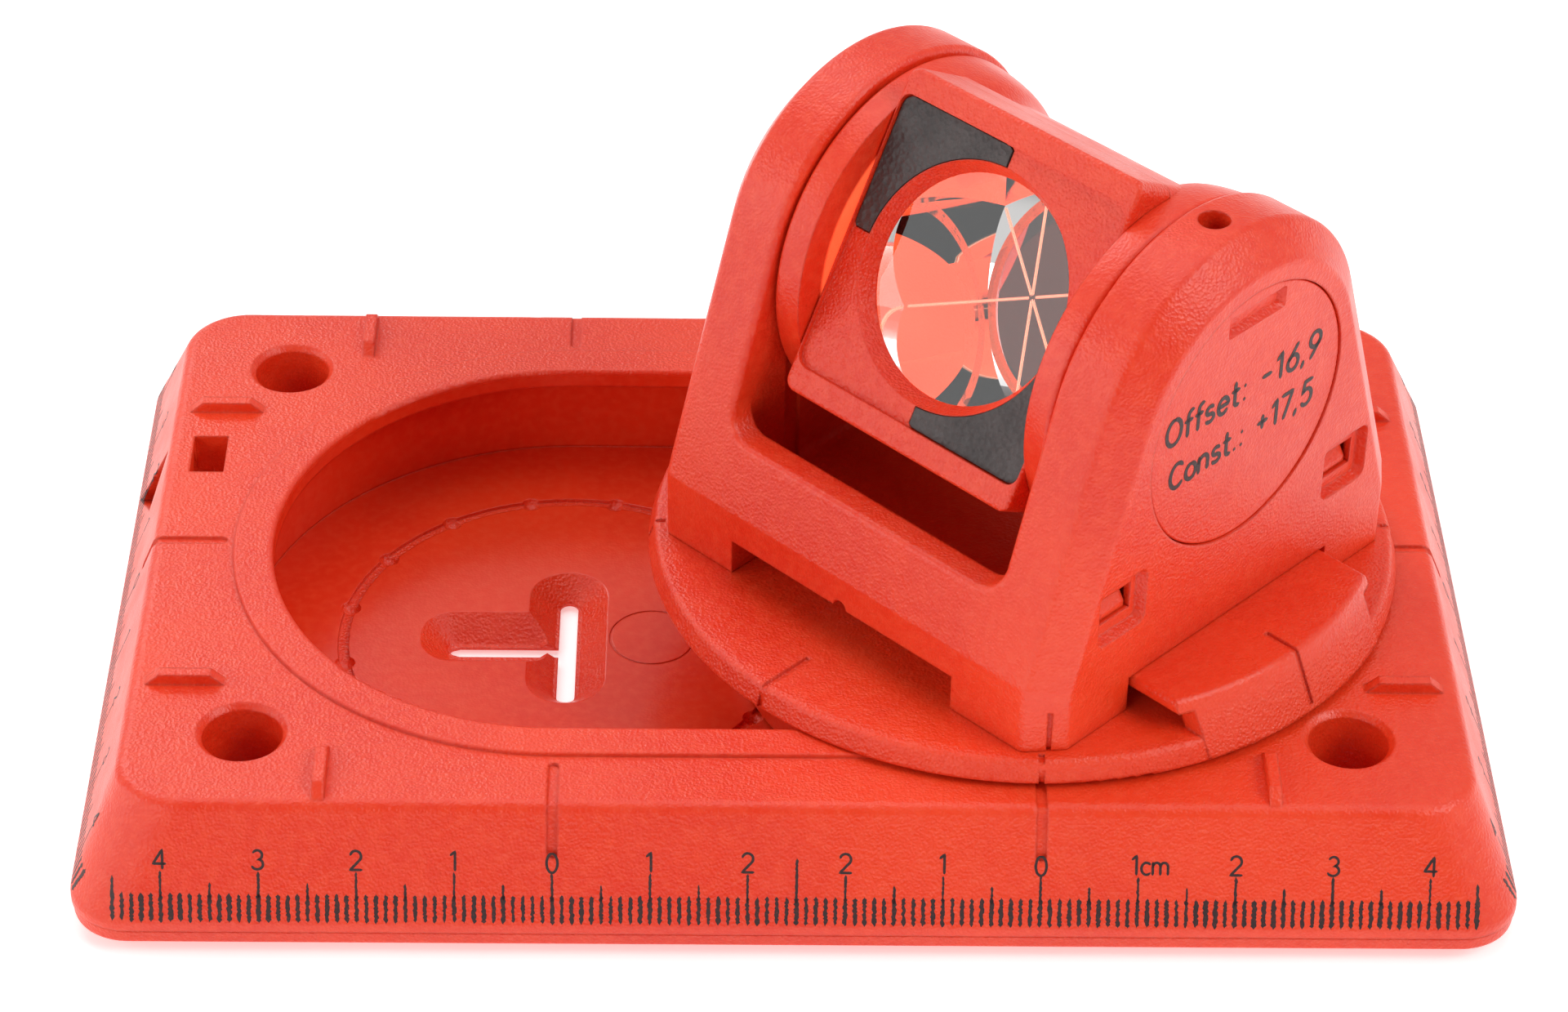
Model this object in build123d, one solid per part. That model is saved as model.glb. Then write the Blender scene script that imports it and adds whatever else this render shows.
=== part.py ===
from build123d import *
import math
import os

# Survey prism: base plate with scale, sliding turntable, yoke and tilting prism head.
# All lengths in mm, angles in degrees. +Z up, scale face toward -Y, bottom face at z = 0.

# ---- base plate (upper shell) ----
deck_z = 16.5
deck_half_x = 69.9
deck_half_y = 43.85
deck_corner_r = 7.0
skirt_z = 4.4
skirt_half_x = 75.0
skirt_half_y = 48.9
skirt_corner_r = 6.3
seam_z = 3.4
deck_edge_r = 1.4
skirt_edge_r = 1.0
shell_wall = 2.4
shell_top = 2.2
stiffener_wall = 1.6
stiffener_pitch = 22.0

# ---- pocket in the base plate: a stadium made of two circles ----
station_x = 25.0
lip_r = 31.87
pocket_r = 35.7
lip_bottom_z = 14.7
pocket_wall = 2.2
ring_outer_r = 36.2
ring_top_z = 16.95
lip_edge_r = 0.5

# ---- bolt holes ----
hole_x = 57.5
hole_y = 32.55
hole_bore_r = 4.2
hole_rim_r = 0.6
hole_seat_z = 6.4
bolt_r = 2.5
post_r = 6.4

# ---- cord eye on the left side ----
eye_x = -65.5
eye_y = 15.85
eye_size_x = 3.8
eye_size_y = 6.7
eye_floor_z = 5.0
eye_mouth = ((17.7, 15.6), (22.0, 5.2), (12.3, 10.9))

# ---- raised ribs around the bolt holes ----
rib_height = 1.3
rib_thick = 1.3
rib_length = 8.4
rib_top_length = 5.4
rib_bury = 0.4
rib_side_x = 64.2
rib_side_y = 24.4
rib_end_x = 48.9
rib_end_y = 39.1

# ---- index grooves ----
index_width = 1.1
index_depth = 0.35
index_front_y = 37.8
index_side_x = 62.5
index_front_drop = 5.2
index_side_drop = 3.7

# ---- base bottom plate with the pocket floor ----
bottom_half_x = 74.8
bottom_half_y = 48.7
bottom_corner_r = 6.1
bottom_edge_z = 1.8
bottom_edge_run = 2.8
bottom_edge_r = 0.5
seam_groove = 0.3
floor_z = 3.25
bottom_relief_depth = 0.6
bottom_relief_margin = 9.0
bottom_relief_r = 3.0
shell_relief_depth = 1.4
eject_mark_r = 4.8
eject_mark_x = 9.5
eject_mark_width = 0.2
eject_mark_depth = 0.1

# ---- centring slots in the floor ----
slot_width = 2.0
slot_y_length = 17.6
slot_x_width = 1.6
slot_x_length = 13.2
slot_point = 1.2
slot_web = 0.9
recess_y_length = 23.2
recess_x_reach = 16.3
recess_width = 8.8
recess_draft = 52.0
recess_corner_r = 3.9

# ---- detent ring ----
detent_r = 24.85
detent_count = 16
detent_ball_r = 1.15
detent_depth = 0.85
detent_groove_width = 1.2
detent_groove_depth = 0.4

# ---- turntable ----
head_turn = -45.0
disc_bottom_z = 17.05
disc_top_z = 19.6
disc_r = 41.0
disc_top_r = 40.1
disc_edge_r = 0.7
mark_width = 0.6
mark_depth = 0.3
mark_rim_depth = 0.6
mark_inner_r = 33.5
mark_corner_r = 39.0
block_inner_x = 26.0
block_half_y = 15.5
block_wall_half_y = 13.8
block_top_z = 23.75
block_top_r = 38.1
block_base_z = 17.5
block_base_r = 41.15
block_wall = 1.7
block_roof = 1.3
block_edge_r = 0.6
block_mark_length = 4.0
screw_circle_r = 20.0
screw_head_r = 2.4
screw_head_depth = 1.3
screw_shank_r = 1.25
screw_length = 9.0
screw_clear = 0.02

# ---- drum under the turntable ----
drum_r = 31.55
drum_bottom_z = 3.55
drum_floor = 1.5
drum_wall = 4.4
drum_post_r = 3.2
bump_count = 4
bump_height = 0.2
detent_arm_length = 9.0
detent_arm_width = 3.6
detent_arm_gap = 0.8

# ---- retaining ring held under the pocket lip ----
keeper_outer_r = 33.3
keeper_inner_r = 29.7
keeper_bottom_z = 12.4
keeper_top_z = 14.55
keeper_gap = 7.0
keeper_groove_r = 29.4
keeper_play = 0.1

# ---- yoke ----
axis_z = 49.4
yoke_half = 28.96
cheek_inner_x = 19.5
knee_z = 27.6
head_r = 20.6
chamfer_axial = 3.0
band_edge_r = 1.2
face_edge_r = 0.8
cheek_edge_r = 0.7
chamfer_profile = 3.7
foot_gap_half = 16.0
foot_gap_top_z = 23.85
beam_top_z = 34.8
beam_corner_r = 3.2
beam_wall = 3.0
well_floor_z = 26.2
well_corner_r = 1.2
cheek_wall = 4.7
cheek_cavity_r = 12.5
window_offset_y = 17.85
window_width = 7.3
window_bottom_z = 30.5
window_top_z = 37.5
window_corner_r = 1.2
window_draft = 25.0
window_inner_width = 4.6
window_inner_height = 3.2
window_depth = 1.1
hook_pocket_inner_x = 22.4
hook_pocket_outer_x = 27.0
hook_pocket_width = 7.0
hook_pocket_top_z = 37.6
guide_y = -16.35
guide_top_z = 47.7
guide_width = 2.2
guide_depth = 0.5
beam_notch_r = 0.9
corner_mark_height = 5.0
corner_mark_inner = 38.1
corner_mark_near = 0.45
corner_mark_far = 0.95
foot_play = 0.05

# ---- snap hooks standing on the turntable ----
hook_inner_x = 23.6
hook_outer_x = 25.9
hook_width = 5.0
hook_top_z = 36.6
hook_nose = 1.6
hook_nose_bottom_z = 32.6
hook_nose_width = 3.6

# ---- caps over the pivots ----
cap_r = 14.85
cap_seat_r = 14.95
cap_seat_x = 27.4
cap_face_x = 28.8
cap_notch_y = 0.35
cap_notch_z = 12.2
cap_notch_length = 8.9
cap_notch_height = 2.6
cap_notch_r = 0.3
cap_notch_depth = 0.8
cap_notch_draft = 35.0
cap_skirt_r = 12.3
cap_skirt_wall = 1.2
cap_skirt_length = 1.6

# ---- pivots ----
trunnion_r = 4.0
trunnion_bore_r = 4.06
trunnion_end_x = 24.95
friction_disc_r = 10.0
friction_disc_bore_r = 4.4
friction_disc_in_x = 19.35
friction_disc_out_x = 19.95
friction_seat_x = 20.0
friction_seat_r = 10.15
wave_outer_r = 6.6
wave_inner_r = 4.5
wave_in_x = 24.27
wave_out_x = 24.9
washer_r = 7.0
washer_in_x = 24.97
washer_out_x = 25.75
pivot_head_r = 3.0
pivot_head_length = 1.35
pivot_shank_r = 1.5
pivot_shank_length = 7.0
hex_r = 1.25
hex_depth = 0.8
clamp_x = 22.6
clamp_hole_r = 1.7
clamp_screw_r = 1.55
clamp_screw_length = 6.0
clamp_gap = 0.12
clamp_drive_r = 0.75
clamp_drive_depth = 1.5

# ---- prism head ----
tilt = 30.3
face_depth = 14.5
bezel_back = 8.9
bezel_half_x = 15.9
bezel_half_z = 18.4
bezel_corner_r = 1.4
bezel_edge_r = 0.5
panel_half = 15.5
panel_corner_r = 1.6
panel_recess = 0.6
seat_front_r = 13.2
seat_back_r = 12.1
glass_front = 11.9
glass_r = 12.7
glass_seat_r = 12.85
glass_height = 19.0
target_thick = 0.45
target_gap = 0.15
target_margin = 0.1
target_end = 0.5
barrel_r = 17.5
barrel_straight_x = 11.2
hub_r = 19.85
hub_start_x = 18.6
hub_out_x = 19.25
flare = ((13.2, 18.7), (15.7, 19.5))
hub_edge_r = 0.6
back_wall = 2.2
frame_slip = 0.04
neck_depth = 3.0
gasket_inner_r = 12.74
gasket_outer_r = 13.3
gasket_seat_r = 13.35
gasket_front = 11.85
gasket_back = 10.95
cushion_r = 5.0
cushion_gap = 0.4
boss_x = 13.0
boss_z = 12.9
boss_r = 2.3
frame_screw_r = 1.0
frame_screw_head_r = 1.9
frame_screw_seat = -6.0
far = 200.0


def stadium(radius, z_low, z_high):
    """Solid stadium around both stations between two heights."""
    outline = SlotCenterToCenter(2 * station_x, 2 * radius)
    return extrude(Plane.XY.offset(z_low) * outline, z_high - z_low)


def upright(radius, z_low, z_high, x=0.0, y=0.0):
    """Vertical cylinder between two heights."""
    body = Cylinder(radius, z_high - z_low, align=(Align.CENTER, Align.CENTER, Align.MIN))
    return Pos(x, y, z_low) * body


def block(x_low, x_high, y_low, y_high, z_low, z_high):
    """Box given by its six faces."""
    body = Box(x_high - x_low, y_high - y_low, z_high - z_low)
    return Pos((x_low + x_high) / 2, (y_low + y_high) / 2, (z_low + z_high) / 2) * body


def rod_x(radius, x_low, x_high, y=0.0, z=0.0):
    """Cylinder along X between two positions."""
    body = Cylinder(radius, x_high - x_low)
    return Pos((x_low + x_high) / 2, y, z) * Rot(0, 90, 0) * body


def rod_y(radius, y_low, y_high, x=0.0, z=0.0):
    """Cylinder along Y between two positions."""
    body = Cylinder(radius, y_high - y_low)
    return Pos(x, (y_low + y_high) / 2, z) * Rot(90, 0, 0) * body


def edges_near(body, z, tolerance=0.05):
    """Edges of a body that lie wholly at one height."""
    found = []
    for edge in body.edges():
        box = edge.bounding_box()
        if abs(box.min.Z - z) < tolerance and abs(box.max.Z - z) < tolerance:
            found.append(edge)
    return found


def head_place(body):
    """Move a part drawn around the turning axis, facing -Y, to its place."""
    return Pos(station_x, 0, 0) * Rot(0, 0, head_turn) * body


def prism_place(body):
    """Move a part drawn around the tilt axis, facing -Y, to its place."""
    return head_place(Pos(0, 0, axis_z) * Rot(-tilt, 0, 0) * body)


# ---- base ----
def base_outer():
    low = Plane.XY.offset(skirt_z) * RectangleRounded(
        2 * skirt_half_x, 2 * skirt_half_y, skirt_corner_r)
    high = Plane.XY.offset(deck_z) * RectangleRounded(
        2 * deck_half_x, 2 * deck_half_y, deck_corner_r)
    band = Plane.XY.offset(seam_z) * RectangleRounded(
        2 * skirt_half_x, 2 * skirt_half_y, skirt_corner_r)
    body = loft([low, high], ruled=True)
    body = body + extrude(band, skirt_z - seam_z)
    body = fillet(edges_near(body, deck_z), deck_edge_r)
    body = fillet(edges_near(body, skirt_z), skirt_edge_r)
    return body


def base_cavity():
    """Hollow of the shell, open below, around the pocket wall, posts and stiffeners."""
    slope_x = (skirt_half_x - deck_half_x) / (deck_z - skirt_z)
    slope_y = (skirt_half_y - deck_half_y) / (deck_z - skirt_z)
    top_z = deck_z - shell_top
    drop = deck_z - top_z
    low = Plane.XY.offset(seam_z) * RectangleRounded(
        2 * (skirt_half_x - shell_wall), 2 * (skirt_half_y - shell_wall), skirt_corner_r - shell_wall)
    high = Plane.XY.offset(top_z) * RectangleRounded(
        2 * (deck_half_x + slope_x * drop - shell_wall),
        2 * (deck_half_y + slope_y * drop - shell_wall), deck_corner_r - shell_wall)
    hollow = loft([low, high], ruled=True)
    hollow = hollow - stadium(pocket_r + pocket_wall, 0, deck_z)
    for sx in (-1, 1):
        for sy in (-1, 1):
            hollow = hollow - upright(post_r, 0, deck_z, sx * hole_x, sy * hole_y)
    for step in (-2, -1, 0, 1, 2):
        x = step * stiffener_pitch
        hollow = hollow - block(
            x - stiffener_wall / 2, x + stiffener_wall / 2, -skirt_half_y, skirt_half_y, 0, deck_z)
    hollow = hollow - block(
        eye_x - eye_size_x / 2 - stiffener_wall, eye_x + eye_size_x / 2 + stiffener_wall,
        eye_y - eye_size_y / 2 - stiffener_wall, eye_y + eye_size_y / 2 + stiffener_wall, 0, deck_z)
    hollow = hollow - block(
        -skirt_half_x, skirt_half_x, -stiffener_wall / 2, stiffener_wall / 2, 0, deck_z)
    return hollow


def wedge_rib():
    """Low rib with sloped ends, long direction along X, standing on the deck."""
    side = Polyline(
        (-rib_length / 2, -rib_bury), (-rib_length / 2, 0), (-rib_top_length / 2, rib_height),
        (rib_top_length / 2, rib_height), (rib_length / 2, 0), (rib_length / 2, -rib_bury), close=True)
    face = make_face(Plane.XZ * side)
    body = extrude(face, rib_thick / 2, both=True)
    return Pos(0, 0, deck_z) * body


def deck_ribs():
    ribs = []
    for sx in (-1, 1):
        for sy in (-1, 1):
            ribs.append(Pos(sx * rib_side_x, sy * rib_side_y, 0) * wedge_rib())
            ribs.append(Pos(sx * rib_end_x, sy * rib_end_y, 0) * Rot(0, 0, 90) * wedge_rib())
    return ribs


def index_cut(start, deck_edge, half_skirt, drop):
    """Shallow groove along +Y from start, over the deck edge and down the sloping side."""
    slope = math.degrees(math.atan2(half_skirt - deck_edge, deck_z - skirt_z))
    flat_length = deck_edge + 1.0 - start
    flat = Pos(0, start + flat_length / 2, deck_z) * Box(index_width, flat_length, 2 * index_depth)
    flat = flat + upright(index_width / 2, deck_z - index_depth, deck_z + index_depth, 0, start)
    down = Pos(0, 0, -drop / 2) * Box(index_width, 2 * index_depth, drop)
    down = down + Pos(0, 0, -drop) * rod_y(index_width / 2, -index_depth, index_depth)
    down = Pos(0, deck_edge, deck_z) * Rot(slope, 0, 0) * down
    return flat + down


def index_cuts():
    cuts = []
    for sx in (-1, 1):
        for turn in (0, 180):
            groove = index_cut(index_front_y, deck_half_y, skirt_half_y, index_front_drop)
            cuts.append(Rot(0, 0, turn) * Pos(sx * station_x, 0, 0) * groove)
    for turn in (90, -90):
        groove = index_cut(index_side_x, deck_half_x, skirt_half_x, index_side_drop)
        cuts.append(Rot(0, 0, turn) * groove)
    return cuts


def cord_eye():
    """Rectangular well that leaves through a three-cornered mouth in the left side."""
    well = block(
        eye_x - eye_size_x / 2, eye_x + eye_size_x / 2,
        eye_y - eye_size_y / 2, eye_y + eye_size_y / 2, eye_floor_z, deck_z + 1)
    face = Plane.YZ.offset(-skirt_half_x - 1) * make_face(Polyline(*eye_mouth, close=True))
    mouth = extrude(face, eye_x + skirt_half_x + 1)
    return well + mouth


def make_base_plate():
    body = base_outer() - base_cavity()
    ring = stadium(ring_outer_r, deck_z - 0.2, ring_top_z)
    ring = fillet(edges_near(ring, ring_top_z), 0.2)
    body = body + ring
    body = body - stadium(pocket_r, 0, lip_bottom_z)
    body = body - stadium(lip_r, 0, deck_z + 2)
    lip_edges = []
    for edge in edges_near(body, ring_top_z):
        box = edge.bounding_box()
        if max(abs(box.min.Y), abs(box.max.Y)) < lip_r + 0.1:
            lip_edges.append(edge)
    body = fillet(lip_edges, lip_edge_r)
    for sx in (-1, 1):
        for sy in (-1, 1):
            x = sx * hole_x
            y = sy * hole_y
            body = body - upright(hole_bore_r, hole_seat_z, deck_z + 1, x, y)
            body = body - upright(bolt_r, 0, hole_seat_z + 1, x, y)
            rim = Cone(hole_bore_r, hole_bore_r + hole_rim_r, hole_rim_r)
            body = body - Pos(x, y, deck_z - hole_rim_r / 2) * rim
    for rib in deck_ribs():
        body = body + rib
    for cut in index_cuts():
        body = body - cut
    body = body - cord_eye()
    return body


def centring_slots():
    """T-shaped slots through the floor with their sunk, draughted surrounds."""
    half = slot_x_width / 2
    x_slot = Polyline(
        (-slot_x_length, 0), (-slot_x_length + slot_point / 3, half * 0.6), (-slot_x_length + slot_point, half),
        (0, half), (0, -half), (-slot_x_length + slot_point, -half),
        (-slot_x_length + slot_point / 3, -half * 0.6), close=True)
    cut = extrude(make_face(x_slot), floor_z)
    y_slot = Rot(0, 0, 90) * SlotOverall(slot_y_length, slot_width)
    cut = cut + extrude(y_slot, floor_z)
    depth = floor_z - slot_web
    top = Plane.XY.offset(floor_z)
    y_recess = top * Rot(0, 0, 90) * SlotOverall(recess_y_length, recess_width)
    cut = cut + extrude(y_recess, -depth, taper=recess_draft)
    x_recess = top * Pos(-recess_x_reach / 2, 0) * RectangleRounded(
        recess_x_reach, recess_width, recess_corner_r)
    cut = cut + extrude(x_recess, -depth, taper=recess_draft)
    return cut


def detent_cuts():
    ring = upright(detent_r + detent_groove_width / 2, floor_z - detent_groove_depth, floor_z + 1)
    ring = ring - upright(detent_r - detent_groove_width / 2, 0, floor_z + 2)
    centre_z = floor_z - detent_depth + detent_ball_r
    for step in range(detent_count):
        angle = math.radians((step + 0.5) * 360 / detent_count)
        ball = Sphere(detent_ball_r)
        ring = ring + Pos(detent_r * math.cos(angle), detent_r * math.sin(angle), centre_z) * ball
    return ring


def make_base_bottom():
    low = RectangleRounded(
        2 * (bottom_half_x - bottom_edge_run), 2 * (bottom_half_y - bottom_edge_run),
        bottom_corner_r - bottom_edge_run)
    high = Plane.XY.offset(bottom_edge_z) * RectangleRounded(
        2 * bottom_half_x, 2 * bottom_half_y, bottom_corner_r)
    body = loft([Plane.XY * low, high], ruled=True)
    body = body + extrude(high, seam_z - bottom_edge_z)
    body = fillet(edges_near(body, bottom_edge_z), bottom_edge_r)
    body = chamfer(edges_near(body, seam_z), seam_groove)
    relief = RectangleRounded(
        2 * (bottom_half_x - bottom_relief_margin), 2 * (bottom_half_y - bottom_relief_margin),
        bottom_relief_r)
    relief_body = extrude(relief, shell_relief_depth) - stadium(
        pocket_r, bottom_relief_depth, shell_relief_depth)
    for sx in (-1, 1):
        for sy in (-1, 1):
            relief_body = relief_body - upright(post_r, 0, seam_z, sx * hole_x, sy * hole_y)
    body = body - relief_body
    body = body - stadium(pocket_r, floor_z, seam_z + 1)
    for sx in (-1, 1):
        body = body - Pos(sx * station_x, 0, 0) * Rot(0, 0, 90 + 90 * sx) * centring_slots()
        body = body - Pos(sx * station_x, 0, 0) * detent_cuts()
        eject = upright(eject_mark_r, floor_z - eject_mark_depth, floor_z + 1)
        eject = eject - upright(eject_mark_r - eject_mark_width, 0, floor_z + 2)
        body = body - Pos(sx * (station_x - eject_mark_x), 0, 0) * eject
        for sy in (-1, 1):
            body = body - upright(bolt_r, -1, seam_z + 1, sx * hole_x, sy * hole_y)
    return body


def make_keeper():
    """Split ring that rides in the drum groove and catches under the pocket lip."""
    body = upright(keeper_outer_r, keeper_bottom_z, keeper_top_z)
    body = body - upright(keeper_inner_r, 0, deck_z)
    body = body - block(-keeper_gap / 2, keeper_gap / 2, 0, 2 * drum_r, 0, deck_z)
    return Pos(station_x, 0, 0) * body


# ---- turntable ----
def screw_spots():
    spots = []
    for step in range(4):
        angle = math.radians(45 + 90 * step)
        spots.append((screw_circle_r * math.cos(angle), screw_circle_r * math.sin(angle)))
    return spots


def disc_cone(z_low, z_high, r_low, r_high):
    body = Cone(r_low, r_high, z_high - z_low, align=(Align.CENTER, Align.CENTER, Align.MIN))
    return Pos(0, 0, z_low) * body


def index_block():
    """Hollow bridge on the right of the yoke that carries the reading mark."""
    outer = disc_cone(block_base_z, block_top_z, block_base_r, block_top_r)
    roof_z = block_top_z - block_roof
    wall_inner_r = block_top_r - block_wall
    roof = outer & block(
        block_inner_x, disc_r, -block_half_y, block_half_y, roof_z, block_top_z)
    wall = outer & block(
        block_inner_x, block_base_r, -block_wall_half_y, block_wall_half_y, block_base_z, block_top_z)
    wall = wall - disc_cone(disc_top_z, roof_z, wall_inner_r + block_roof, wall_inner_r)
    body = roof + wall
    body = body - upright(disc_r - block_roof, disc_bottom_z, disc_top_z - block_roof)
    return fillet(edges_near(body, block_top_z), block_edge_r)


def snap_hook():
    """One upright hook with its nose pointing to +X, drawn around y = 0."""
    stem = block(hook_inner_x, hook_outer_x, -hook_width / 2, hook_width / 2, disc_top_z - 0.5, hook_top_z)
    nose = Polyline(
        (hook_outer_x - 0.2, hook_nose_bottom_z), (hook_outer_x + hook_nose, hook_nose_bottom_z),
        (hook_outer_x + hook_nose, hook_nose_bottom_z + 0.7), (hook_outer_x, hook_top_z - 0.6),
        (hook_outer_x - 0.2, hook_top_z - 0.6), close=True)
    wedge = extrude(make_face(Plane.XZ * nose), hook_nose_width / 2, both=True)
    return stem + wedge


def make_turntable():
    body = disc_cone(disc_bottom_z, disc_top_z, disc_r, disc_top_r)
    body = fillet(edges_near(body, disc_top_z), disc_edge_r)
    body = fillet(edges_near(body, disc_bottom_z), 0.3)
    body = body + index_block()
    half = mark_width / 2
    for step in range(1, 8):
        inner = mark_corner_r if step % 2 else mark_inner_r
        groove = block(inner, disc_r + 1, -half, half, disc_top_z - mark_depth, disc_top_z + 1)
        rim = block(disc_r - mark_rim_depth, disc_r + 1, -half, half, disc_bottom_z - 1, disc_top_z)
        body = body - Rot(0, 0, 45 * step) * (groove + rim)
    lean = math.degrees(math.atan2(block_base_r - block_top_r, block_top_z - block_base_z))
    face_length = 2 * (block_top_z - block_base_z)
    groove = block(
        block_top_r - block_mark_length, disc_r + 1, -half, half, block_top_z - mark_depth, block_top_z + 1)
    groove = groove + Pos(block_top_r, 0, block_top_z) * Rot(0, -lean, 0) * Box(
        2 * mark_depth, mark_width, face_length)
    body = body - groove
    for sx in (0, 180):
        for sy in (-1, 1):
            body = body + Rot(0, 0, sx) * Pos(0, sy * window_offset_y, 0) * snap_hook()
    for x, y in screw_spots():
        body = body - upright(screw_head_r + 0.1, disc_top_z - screw_head_depth - 0.02, disc_top_z + 1, x, y)
        body = body - upright(screw_shank_r + screw_clear, 0, disc_top_z, x, y)
    return head_place(body)


def bump_spots():
    spots = []
    for step in range(bump_count):
        angle = 11.25 + 22.5 + step * 360 / bump_count
        spots.append(angle)
    return spots


def make_drum():
    top_z = disc_bottom_z
    body = upright(drum_r, drum_bottom_z, top_z)
    body = body - upright(drum_r - drum_wall, drum_bottom_z + drum_floor, top_z + 1)
    for x, y in screw_spots():
        post = upright(drum_post_r, drum_bottom_z, top_z, x, y)
        body = body + (post - upright(
            screw_shank_r + screw_clear, top_z - screw_length, top_z + 1, x, y))
    groove = upright(drum_r + 1, keeper_bottom_z - keeper_play, keeper_top_z + keeper_play)
    groove = groove - upright(keeper_groove_r, 0, top_z)
    body = body - groove
    for angle in bump_spots():
        ball_z = drum_bottom_z - bump_height + detent_ball_r
        arm = block(
            detent_r - detent_arm_width / 2, detent_r + detent_arm_width / 2,
            -detent_arm_length / 2, detent_arm_length / 2, drum_bottom_z - 1, drum_bottom_z + drum_floor + 1)
        keep = block(
            detent_r - detent_arm_width / 2 + detent_arm_gap, detent_r + detent_arm_width / 2,
            -detent_arm_length / 2 + detent_arm_gap, detent_arm_length / 2 - detent_arm_gap,
            drum_bottom_z - 2, drum_bottom_z + drum_floor + 2)
        bump = Pos(detent_r, 0, ball_z) * Sphere(detent_ball_r)
        cap = block(
            detent_r - 2, detent_r + 2, -2, 2, drum_bottom_z - 1, drum_bottom_z + 0.2)
        body = body - Rot(0, 0, angle) * (arm - keep)
        body = body + Rot(0, 0, angle) * (bump & cap)
    return head_place(body)


def make_drum_screws():
    screws = []
    for x, y in screw_spots():
        head = upright(screw_head_r, disc_top_z - screw_head_depth, disc_top_z - 0.1, x, y)
        shank = upright(screw_shank_r, disc_top_z - screw_length, disc_top_z - screw_head_depth, x, y)
        drive = extrude(Plane.XY.offset(disc_top_z - 0.9) * RegularPolygon(hex_r, 6), 1)
        screws.append(head_place(head + shank - Pos(x, y, 0) * drive))
    return screws


# ---- yoke ----
def leg_lean():
    """Angle of the leg's sloping face from upright, so that it meets the round head smoothly."""
    rise = axis_z - knee_z
    distance = math.hypot(yoke_half, rise)
    return math.pi / 2 - math.atan2(rise, yoke_half) - math.asin(head_r / distance)


def yoke_profile():
    """Side outline of the yoke in Y and Z, as a face in the YZ plane."""
    reach = yoke_half
    touch_y = head_r * math.cos(leg_lean())
    touch_z = axis_z + head_r * math.sin(leg_lean())
    low = disc_top_z - 2 * chamfer_profile
    left = Line((-touch_y, touch_z), (-reach, knee_z))
    left_wall = Line((-reach, knee_z), (-reach, low))
    floor = Line((-reach, low), (reach, low))
    right_wall = Line((reach, low), (reach, knee_z))
    right = Line((reach, knee_z), (touch_y, touch_z))
    crown = ThreePointArc((touch_y, touch_z), (0, axis_z + head_r), (-touch_y, touch_z))
    outline = Curve() + [left, left_wall, floor, right_wall, right, crown]
    return Plane.YZ * make_face(outline)


def profile_edges(body, x):
    """Edges of the yoke's side outline that lie in the two planes at +x and -x."""
    found = []
    for edge in body.edges():
        box = edge.bounding_box()
        flat = abs(abs(box.min.X) - x) < 0.05 and abs(box.max.X - box.min.X) < 0.05
        if flat and box.max.Z > disc_top_z + 0.5:
            found.append(edge)
    return found


def yoke_outer():
    face = yoke_profile()
    straight = yoke_half - chamfer_axial
    draft = math.degrees(math.atan2(chamfer_profile, chamfer_axial))
    body = extrude(face, straight, both=True)
    for side in (-1, 1):
        end = Pos(side * straight, 0, 0) * face
        body = body + extrude(end, chamfer_axial, dir=(side, 0, 0), taper=draft)
    body = fillet(profile_edges(body, straight), band_edge_r)
    body = fillet(profile_edges(body, yoke_half), face_edge_r)
    return body - block(-far, far, -far, far, -far, disc_top_z)


def cheek_opening():
    """Gap between the cheeks above the front and back beams, rounded at the bottom."""
    width = 2 * cheek_inner_x
    height = 2 * head_r + axis_z - beam_top_z
    face = Plane.XZ * Pos(0, beam_top_z + height / 2) * RectangleRounded(width, height, beam_corner_r)
    return extrude(face, 2 * yoke_half, both=True)


def opening_edges(body):
    """Edges where the opening between the cheeks meets the outside."""
    found = []
    for edge in body.edges():
        box = edge.bounding_box()
        inside = max(abs(box.min.X), abs(box.max.X)) < cheek_inner_x + 0.05
        crosses = box.max.Y - box.min.Y > 2 * head_r
        if inside and not crosses and box.min.Z > beam_top_z - 0.05:
            found.append(edge)
    return found


def yoke_well():
    """Hollow between the beams, walls following the leg slope."""
    inner_low = yoke_half - beam_wall
    top_z = beam_top_z + beam_corner_r + 0.5
    inner_high = inner_low - (top_z - knee_z) * math.tan(leg_lean())
    side = Polyline(
        (-inner_low, well_floor_z), (-inner_low, knee_z), (-inner_high, top_z),
        (inner_high, top_z), (inner_low, knee_z), (inner_low, well_floor_z), close=True)
    body = extrude(make_face(Plane.YZ * side), cheek_inner_x, both=True)
    return fillet(edges_near(body, well_floor_z), well_corner_r)


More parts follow.
